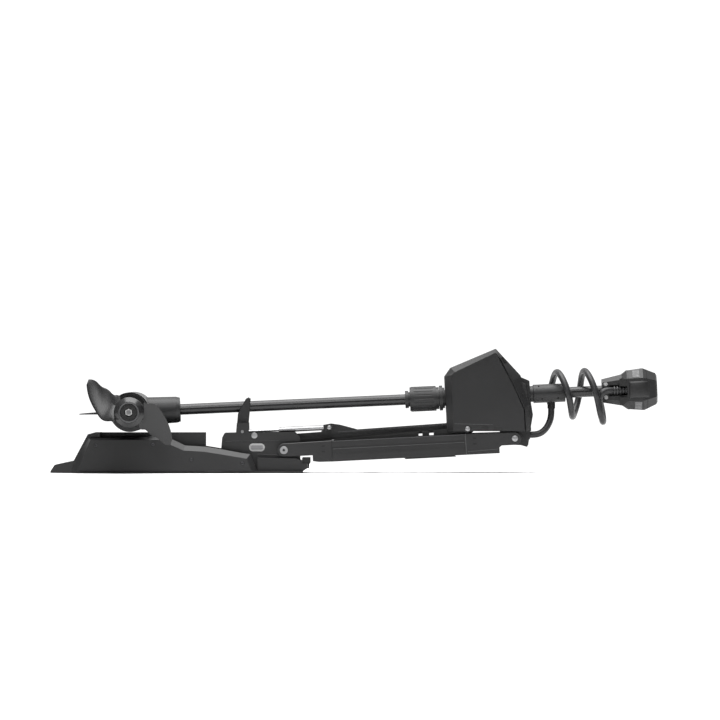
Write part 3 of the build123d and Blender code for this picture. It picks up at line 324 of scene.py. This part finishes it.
def turned(name, profile, spots, body, material, sides=40, both=True):
    """Round pieces square to the motor's side; the profile is radius and distance from the middle plane, mm."""
    bm = bmesh.new()
    for x, z in spots:
        for side in ((-1, 1) if both else (-1,)):
            rings = []
            for r, y in profile:
                ring = []
                for i in range(sides if r > 0 else 1):
                    a = 2 * math.pi * i / sides
                    spot = ((x + r * math.cos(a)) / mm, side * y / mm, (z + r * math.sin(a)) / mm)
                    ring.append(bm.verts.new(spot))
                rings.append(ring)
            for inner, outer in zip(rings, rings[1:]):
                if len(inner) == 1:
                    for i in range(sides):
                        bm.faces.new((inner[0], outer[i], outer[(i + 1) % sides]))
                elif len(outer) == 1:
                    for i in range(sides):
                        bm.faces.new((outer[0], inner[(i + 1) % sides], inner[i]))
                else:
                    for i in range(sides):
                        j = (i + 1) % sides
                        bm.faces.new((inner[i], outer[i], outer[j], inner[j]))
    return finish_mesh(name, bm, body, material)


screw_spots = [  # x and z of the screws on each side
    (-199.7, 76.5), (-43.2, 79.2), (61.3, 37.1), (200.8, 27.0),
]
screw_profile = [(0, 89.6), (2.2, 89.6), (2.6, 92.2), (3.6, 92.7), (4.6, 92.2), (5.0, 91.4), (5.0, 89)]
screw_head = turned("cover_screw_heads", screw_profile,
                    screw_spots, "base", dark_steel, sides=36)
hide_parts("cover_screws")
seat_profile = [(5.4, 91.6), (5.8, 92.15), (6.6, 92.3), (7.2, 91.9)]
turned("cover_screw_seats", seat_profile, screw_spots, "base", black_rubber)

# ---------------------------------------------------------------- pin heads
# Heads and caps of the five pins on each side. The main hinge pin's head is a ring with
# a dark plug in its bore; the other four are shallow domes.
pin_paint = grained("pin_paint", (0.34, 0.34, 0.345), (0.44, 0.44, 0.45), grain=900, patch=60,
                    roughness=(0.25, 0.4), bump=0.05, metallic=0.6)
arm_hinge = (314, 62.5)
link_pivot = (233, 102.5)
elbow = (946.69, 94.55)
link_elbow = (817, 121)
spring_pivot = (438, 124)
main_pin = turned("main_hinge_pin_heads", [(4.6, 71.2), (5.0, 72.0), (10.0, 72.0), (10.9, 71.2), (10.9, 69.5)],
                  [arm_hinge], "base", pin_paint, sides=56)
turned("main_hinge_pin_plugs", [(0, 71.4), (4.2, 71.4), (4.7, 70.6), (4.7, 69.5)], [arm_hinge], "base",
       black_rubber)
pivot_domes = [(0, 1.6), (3.5, 1.5), (6.2, 1.0), (7.6, 0.2), (8.2, -0.8)]
for cap_name, spot, body, seat, width, height in (
    ("link_pin_heads", link_pivot, "base", 48.9, 1, 0.5),
    ("elbow_pin_caps", elbow, "main_arm", 70.8, 1, 1),
    ("link_elbow_pin_caps", link_elbow, "housing", 73.5, 0.82, 1),
    ("spring_pin_caps", spring_pivot, "link_arm", 40.3, 0.72, 1),
):
    turned(cap_name, [(width * r, seat + height * y) for r, y in pivot_domes], [spot], body, pin_paint)

# ---------------------------------------------------------------- spring clevises
# A moulded clevis closes the end of each gas cylinder round the link's cross pin.


def plate(name, outlines, near, far, body, material, bevel=0.6, both=True, place=None):
    """Flat pieces square to the side, cut to outlines in x, z mm between two depths from the middle plane."""
    bm = bmesh.new()
    for outline in outlines:
        for side in ((-1, 1) if both else (-1,)):
            spots = [place(*p) if place else p for p in outline]
            front = [bm.verts.new((x / mm, side * far / mm, z / mm)) for x, z in spots]
            back = [bm.verts.new((x / mm, side * near / mm, z / mm)) for x, z in spots]
            bm.faces.new(front)
            bm.faces.new(list(reversed(back)))
            for i in range(len(spots)):
                j = (i + 1) % len(spots)
                bm.faces.new((front[i], back[i], back[j], front[j]))
    bmesh.ops.recalc_face_normals(bm, faces=bm.faces)
    if bevel:
        bmesh.ops.bevel(bm, geom=list(bm.edges), offset=bevel / mm, segments=2, profile=0.6,
                        affect="EDGES", clamp_overlap=True)
    return finish_mesh(name, bm, body, material)


plate("spring_clevises", [[(422, 114), (422, 130.5), (440, 133), (449, 130), (449, 117), (440, 113)]], 26.5, 39.6,
      "link_arm", black_rubber, bevel=1.2)

# ---------------------------------------------------------------- hinge walls
# Each cast wall carries two pale lines, one along its ledge and one lower down, both painted highlights. The release
# button, on the port wall only, has a grey inlay.
# A pale grey painted on as highlights along edges, ridges and rims.
painted_highlight_grey = grained("painted_highlight_grey", (0.055, 0.055, 0.057), (0.085, 0.085, 0.087), grain=700, patch=20,
                     roughness=(0.32, 0.45), bump=0.1)
# Pale lines painted as highlights along the wall's lower groove and its ledge.
plate("wall_highlight_lines", [[(241, 50.4), (296, 48.6), (297, 50.2), (243, 52.2)]], 48.0, 48.9,
      "base", painted_highlight_grey, bevel=0.3)
plate("wall_ledge_highlights", [[(153, 86.2), (300, 87.4), (300, 88.4), (153, 87.2)]], 47.6, 48.5,
      "base", painted_highlight_grey, bevel=0.2)
button_grey = grained("button_grey", (0.20, 0.20, 0.205), (0.27, 0.27, 0.275), grain=1200,
                      roughness=(0.4, 0.6), bump=0.2)
inlay_outline = [(224, 66.5), (226, 64.2), (254, 64.2), (256, 66.5), (256, 73.3), (254, 75.6),
                 (226, 75.6), (224, 73.3)]
plate("button_inlay", [inlay_outline], 48.7, 49.4, "release_button_body", button_grey, bevel=0.3, both=False)

# ---------------------------------------------------------------- arm rails
# Extruded rails with two pale running ridges painted as highlights and a dark strip of painted shade between them, a
# dark plate of painted shade for the channel inside the port rail, and a wear strip under each rail. Slots are thin
# dark plates of painted shade, and pale lines along the fork's lips are painted highlights.
arm_tilt = math.radians(2.9)


def on_arm(u, w):
    """x and z in mm of a spot u along the arm from its hinge, w above its line."""
    return (arm_hinge[0] + u * math.cos(arm_tilt) - w * math.sin(arm_tilt),
            arm_hinge[1] + u * math.sin(arm_tilt) + w * math.cos(arm_tilt))


# Pale strips painted as highlights along the rail's top edge and lower ridge.
plate("rail_highlight_lines", [[(134, 16.6), (495, 16.6), (495, 18.0), (134, 18.0)],
                      [(134, -4.2), (495, -4.2), (495, -2.6), (134, -2.6)]],
      67.4, 68.7, "main_arm", painted_highlight_grey, bevel=0.4, place=on_arm)
# A dark strip of painted shade between the ridges.
plate("rail_painted_shade_strips", [[(134, -2.4), (495, -2.4), (495, 2.5), (134, 2.5)]], 67.2, 68.15,
      "main_arm", black_rubber, bevel=0.2, place=on_arm)
# Dark plates of painted shade inside the port rail's channel.
plate("cable_channel_shade", [[(138, 14), (138, 22), (371, 33), (371, 14)],
                        [(381, 14), (381, 33), (400, 33), (400, 14)],
                        [(412, 14), (412, 33), (452, 36), (452, 14)]],
      48.9, 49.9, "main_arm", black_rubber, bevel=0.3, both=False, place=on_arm)
plate("wear_strips", [[(330, -41.5), (470, -41.5), (468, -37.8), (332, -37.8)]], 52, 66,
      "main_arm", black_rubber, bevel=0.6, place=on_arm)
# Dark plates of painted shade standing for the slots in the knuckles and forks.
plate("knuckle_slot_shades", [[(104, 3.8), (112, 3.8), (113, 6), (112, 8.2), (104, 8.2), (103, 6)],
                        [(104, -11.2), (112, -11.2), (113, -9), (112, -6.8), (104, -6.8), (103, -9)],
                        [(519, 3.8), (527, 3.8), (528, 6), (527, 8.2), (519, 8.2), (518, 6)],
                        [(519, -11.2), (527, -11.2), (528, -9), (527, -6.8), (519, -6.8), (518, -9)]],
      68.2, 69.4, "main_arm", black_rubber, bevel=0.2, place=on_arm)
# Pale lines painted as highlights along the fork's edge and lip.
plate("fork_lip_highlights", [[(497.5, -37), (500, -37), (500, 19.5), (497.5, 19.5)],
                    [(503, -30.5), (588, -27), (588, -25.6), (503, -29)]],
      68.2, 69.5, "main_arm", painted_highlight_grey, bevel=0.3, place=on_arm)

# ---------------------------------------------------------------- link arm
# The link is a rolled channel: its upper bead carries a pale painted highlight and its lower flange a dark painted
# shade.
link_slope = 0.0704


def on_link(x, rise):
    """x and z in mm of a spot on the link, rise above its middle line."""
    return (x, 106.7 + link_slope * (x - 513.7) + rise)


# A pale strip painted as a highlight along the link's upper bead.
plate("link_bead_highlights", [[(462, 7.4), (768, 7.4), (768, 9.2), (462, 9.2)]], 11.6, 12.7,
      "link_arm", painted_highlight_grey, bevel=0.4, place=on_link)
# A dark strip of painted shade along the link's lower side.
plate("link_flange_shades", [[(330, -11.5), (770, -11.5), (770, -4.0), (330, -4.0)]], 11.4, 12.4,
      "link_arm", black_rubber, bevel=0.4, place=on_link)

# ---------------------------------------------------------------- steering housing
# The housing's end cover meets the shells along a dark seam, with a stepped block behind it. The slots, notch and
# floor recesses are thin dark plates of painted shade on the surface, and the pale line along the skirt is a painted
# highlight.
seam_path = [(899.5, 329), (941.5, 247), (975, 173), (977.5, 116)]
seam = []
for (x0, z0), (x1, z1) in zip(seam_path, seam_path[1:]):
    seam.append([(x0 - 0.9, z0), (x1 - 0.9, z1), (x1 + 0.9, z1), (x0 + 0.9, z0)])
plate("housing_seam", seam, 66, 72.4, "housing", black_rubber, bevel=0)
plate("back_block", [[(962, 263.4), (987.4, 252.6), (990.6, 199), (997.2, 159), (989, 112), (984, 74),
                      (972, 76), (972, 190), (958, 250)]],
      0.5, 38, "housing", black_plastic, bevel=2.2)
plate("back_cheeks", [[(964, 250), (977, 244), (984, 200), (990, 160), (983, 118), (976, 118), (976, 172),
                       (966, 206)]],
      37, 53, "housing", black_plastic, bevel=3.0)
# Dark plates of painted shade standing for the latch slots.
plate("latch_slot_shades", [[(955, 217), (968, 214), (969, 217.5), (957, 221.5)],
                      [(960, 203), (969, 200.5), (970, 208), (962, 210)]],
      54, 62.6, "housing", black_rubber, bevel=0.4)
# A dark plate of painted shade standing for the top notch.
plate("top_notch_shade", [[(908, 315), (913, 318.5), (926, 304.5), (922, 301)]], 46, 60,
      "housing", black_rubber, bevel=0.5)
# Dark plates of painted shade standing for the floor recesses.
plate("floor_recess_shades", [[(850, 114.8), (850, 124), (858, 131), (871, 129.5), (874, 122), (874, 114.8)],
                         [(889, 114.8), (889, 126.5), (912, 125), (912, 114.8)]],
      70.5, 72.35, "housing", black_rubber, bevel=0.4)
plate("front_skirt", [[(763, 117), (763, 101.5), (800, 103.5), (826, 105.5), (836, 117)]], 31, 47,
      "housing", black_plastic, bevel=1.0)
# A pale line painted as a highlight along the skirt's edge.
plate("skirt_highlight_line", [[(781, 134.4), (886, 131.5), (886, 132.7), (781, 135.6)]], 71.6, 72.25,
      "housing", painted_highlight_grey, bevel=0.2)

# ---------------------------------------------------------------- control head
# The head has a raised panel on each side, a lip in front, a seam behind, plain grey pads
# on its corner facets, and a dark arch on the port side where the cable goes in.


def on_head(u, v, y):
    """A spot in metres: u along the shaft from the pod, v above it, y across."""
    return pod_centre + along_shaft * (u / mm) + above_shaft * (v / mm) + Vector((0, y / mm, 0))


def head_size(u):
    """Half width, half height and corner cut of the head in mm, u along the shaft."""
    stations = [(1348, 42, 43, 17), (1362, 51, 53, 22), (1406, 56, 57.5, 26), (1440, 42, 43, 20), (1444, 36, 37, 18)]
    for low, high in zip(stations, stations[1:]):
        if u <= high[0]:
            share = (u - low[0]) / (high[0] - low[0])
            return [a + share * (b - a) for a, b in zip(low[1:], high[1:])]
    return stations[-1][1:]


def head_loop(u, proud):
    """The head's eight corners at u, pushed out by proud."""
    half_y, half_v, cut = head_size(u)
    half_y, half_v, cut = half_y + proud, half_v + proud, cut + 0.6 * proud
    corners = [(half_y, half_v - cut), (half_y - cut, half_v), (-half_y + cut, half_v), (-half_y, half_v - cut),
               (-half_y, -half_v + cut), (-half_y + cut, -half_v), (half_y - cut, -half_v), (half_y, -half_v + cut)]
    return [on_head(u, v, y) for y, v in corners]


def head_band(name, stations, material):
    """A closed band round the head through stations of u and how proud it stands."""
    bm = bmesh.new()
    loops = [[bm.verts.new(p) for p in head_loop(u, proud)] for u, proud in stations]
    for first, second in zip(loops, loops[1:]):
        for i in range(8):
            j = (i + 1) % 8
            bm.faces.new((first[i], second[i], second[j], first[j]))
    return finish_mesh(name, bm, "shaft", material)


head_band("head_seam", [(1415.2, -0.3), (1415.2, 0.35), (1416.6, 0.35), (1416.6, -0.3)], black_rubber)
head_band("head_front_lip", [(1361, -0.3), (1361.4, 0.7), (1365, 0.7), (1365.6, -0.3)], black_plastic)

bm = bmesh.new()
panel_sunk = 0.4
panel_rows = [(-23, 0.2), (-21.5, 2.6), (-17, 4.4), (-8, 5.4), (0, 5.7), (8, 5.4), (17, 4.4), (21.5, 2.6), (23, 0.2)]
panel_columns = [(1366, 0.0), (1369, 0.75), (1374, 1.0), (1404, 1.0), (1414, 0.85), (1419, 0.55), (1422, 0.0)]
for side in (-1, 1):
    grid = []
    for u, fullness in panel_columns:
        half_y = head_size(u)[0]
        grid.append([bm.verts.new(on_head(u, v, side * (half_y - panel_sunk + rise * fullness)))
                     for v, rise in panel_rows])
    for a, b in zip(grid, grid[1:]):
        for i in range(len(panel_rows) - 1):
            bm.faces.new((a[i], b[i], b[i + 1], a[i + 1]))
finish_mesh("head_side_panels", bm, "shaft", black_plastic, smooth=True)

bm = bmesh.new()
for u0, u1, side in ((1377, 1396, 1), (1381, 1400, -1)):
    for across_side in (-1, 1):
        corners = []
        for u in (u0, u1):
            half_y, half_v, cut = head_size(u)
            for share in (0.08, 0.92):
                y = half_y - cut * (1 - share) + 0.5
                v = half_v - cut * share + 0.5
                corners.append(bm.verts.new(on_head(u, side * v, across_side * y)))
        bm.faces.new((corners[0], corners[1], corners[3], corners[2]))
bmesh.ops.solidify(bm, geom=list(bm.faces), thickness=0.0004)
grip_grey = grained("grip_grey", (0.10, 0.10, 0.102), (0.19, 0.19, 0.193), grain=1600, patch=160, patchiness=0.9,
                    roughness=(0.45, 0.6), bump=0.3)
finish_mesh("head_pads", bm, "shaft", grip_grey)

bm = bmesh.new()
arch_z, arch_front, arch_back = 222.6, -0.0505, -0.036
for half in (1, -1):
    outer = []
    for step in range(9):
        a = math.radians(90 - step * 8.2) * half
        outer.append((1240 + 21 * math.cos(a), arch_z + 37 * math.sin(a)))
    foot_z = arch_z + half * 14.8
    outline = [(1234, arch_z + half * 35)] + outer + [(1259, foot_z), (1234, foot_z)]
    front = [bm.verts.new((x / mm, arch_front, z / mm)) for x, z in outline]
    back = [bm.verts.new((x / mm, arch_back, z / mm)) for x, z in outline]
    bm.faces.new(front)
    bm.faces.new(list(reversed(back)))
    for i in range(len(outline)):
        j = (i + 1) % len(outline)
        bm.faces.new((front[i], back[i], back[j], front[j]))
finish_mesh("cable_arch", bm, "shaft", black_rubber)

# ---------------------------------------------------------------- strain relief
# Five stepped rubber rings grip the coiled cable where it enters the head.
bm = bmesh.new()
relief_sides = 36
relief_start, rib_pitch, relief_y = 1324, 8, -34
relief_rings = []
for rib in range(5):
    start = relief_start + rib * rib_pitch
    relief_rings += [
        (start, 8.8), (start + 0.3, 11.6), (start + 1.2, 12.4), (start + 3.6, 12.4), (start + 4.5, 11.6),
        (start + 4.8, 9.4), (start + 7.9, 8.8),
    ]
loops = []
for u, r in relief_rings:
    turns = [2 * math.pi * i / relief_sides for i in range(relief_sides)]
    loops.append([bm.verts.new(on_head(u, r * math.sin(a), relief_y + r * math.cos(a))) for a in turns])
for a, b in zip(loops, loops[1:]):
    for i in range(relief_sides):
        j = (i + 1) % relief_sides
        bm.faces.new((a[i], b[i], b[j], a[j]))
bm.faces.new(loops[0])
bm.faces.new(list(reversed(loops[-1])))
relief_rubber = grained("relief_rubber", (0.022, 0.022, 0.023), (0.045, 0.045, 0.047), grain=1200,
                        roughness=(0.3, 0.42), bump=0.15)
ribbed = finish_mesh("ribbed_strain_relief", bm, "shaft", relief_rubber)
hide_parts("head_relief")

# ---------------------------------------------------------------- propeller hub
# A raised ring painted pale as a highlight, and a dark disc of painted shade in the recess, frame the nut on the
# hub's outer face.
ring_profile = [(23.5, 215.4), (24.2, 216.3), (26.2, 216.8), (28.0, 216.2), (28.6, 215.2)]
recess_profile = [(11.6, 214.9), (18.8, 214.9), (19.2, 216.1), (20.4, 216.2), (20.8, 215.2)]
pod_axis = [(-104.5, 167.3)]
# The ring's pale grey is a painted highlight; the disc below is painted shade.
turned("hub_highlight_ring", ring_profile, pod_axis, "propeller_set", painted_highlight_grey, sides=72, both=False)
turned("hub_recess_shade", recess_profile, pod_axis, "propeller_set", black_rubber, sides=72, both=False)

# ---------------------------------------------------------------- floor and light
# A small white deck sheet, a sky that is bright behind and above and dim in front, and
# two softboxes. The sheet is small so that the motor can be seen below it when deployed.
floor_mesh = bpy.data.meshes.new("floor")
floor_points = [(-1.6, -1.5, -0.0005), (2.6, -1.5, -0.0005), (2.6, 1.5, -0.0005), (-1.6, 1.5, -0.0005)]
floor_mesh.from_pydata(floor_points, [], [(0, 1, 2, 3)])
floor = bpy.data.objects.new("floor", floor_mesh)
scene.collection.objects.link(floor)
studio_white, _, white_surface = shader("studio_white")
white_surface.inputs["Base Color"].default_value = (0.93, 0.93, 0.93, 1)
white_surface.inputs["Roughness"].default_value = 0.9
white_surface.inputs["Specular IOR Level"].default_value = 0.0
floor_mesh.materials.append(studio_white)

world = bpy.data.worlds.new("studio")
scene.world = world
world.use_nodes = True
sky = world.node_tree
sky_shade = sky.nodes["Background"]
sky_way = sky.nodes.new("ShaderNodeTexCoord")
sky_split = sky.nodes.new("ShaderNodeSeparateXYZ")
sky.links.new(sky_way.outputs["Generated"], sky_split.inputs["Vector"])
sky_sum = sky.nodes.new("ShaderNodeMath")
sky_sum.operation = "MAXIMUM"
for slot, axis, low, high, dim, bright in ((0, "Y", 0.1, 0.4, 0.07, 1.15), (1, "Z", 0.3, 0.9, 0.0, 0.8)):
    ramp = sky.nodes.new("ShaderNodeMapRange")
    ramp.inputs["From Min"].default_value = low
    ramp.inputs["From Max"].default_value = high
    ramp.inputs["To Min"].default_value = dim
    ramp.inputs["To Max"].default_value = bright
    sky.links.new(sky_split.outputs[axis], ramp.inputs["Value"])
    sky.links.new(ramp.outputs["Result"], sky_sum.inputs[slot])
sky.links.new(sky_sum.outputs["Value"], sky_shade.inputs["Color"])


def soft_light(name, place, aim, size, power):
    """A square softbox pointed at a spot."""
    data = bpy.data.lights.new(name, "AREA")
    data.size = size
    data.energy = power
    lamp = bpy.data.objects.new(name, data)
    lamp.location = place
    lamp.rotation_euler = (Vector(aim) - Vector(place)).to_track_quat("-Z", "Y").to_euler()
    scene.collection.objects.link(lamp)


soft_light("top_box", (0.5, -0.2, 3.6), (0.5, 0.1, 0.1), 3.4, 190)
soft_light("front_box", (0.2, -4.2, 3.4), (0.5, 0, 0.2), 1.8, 55)
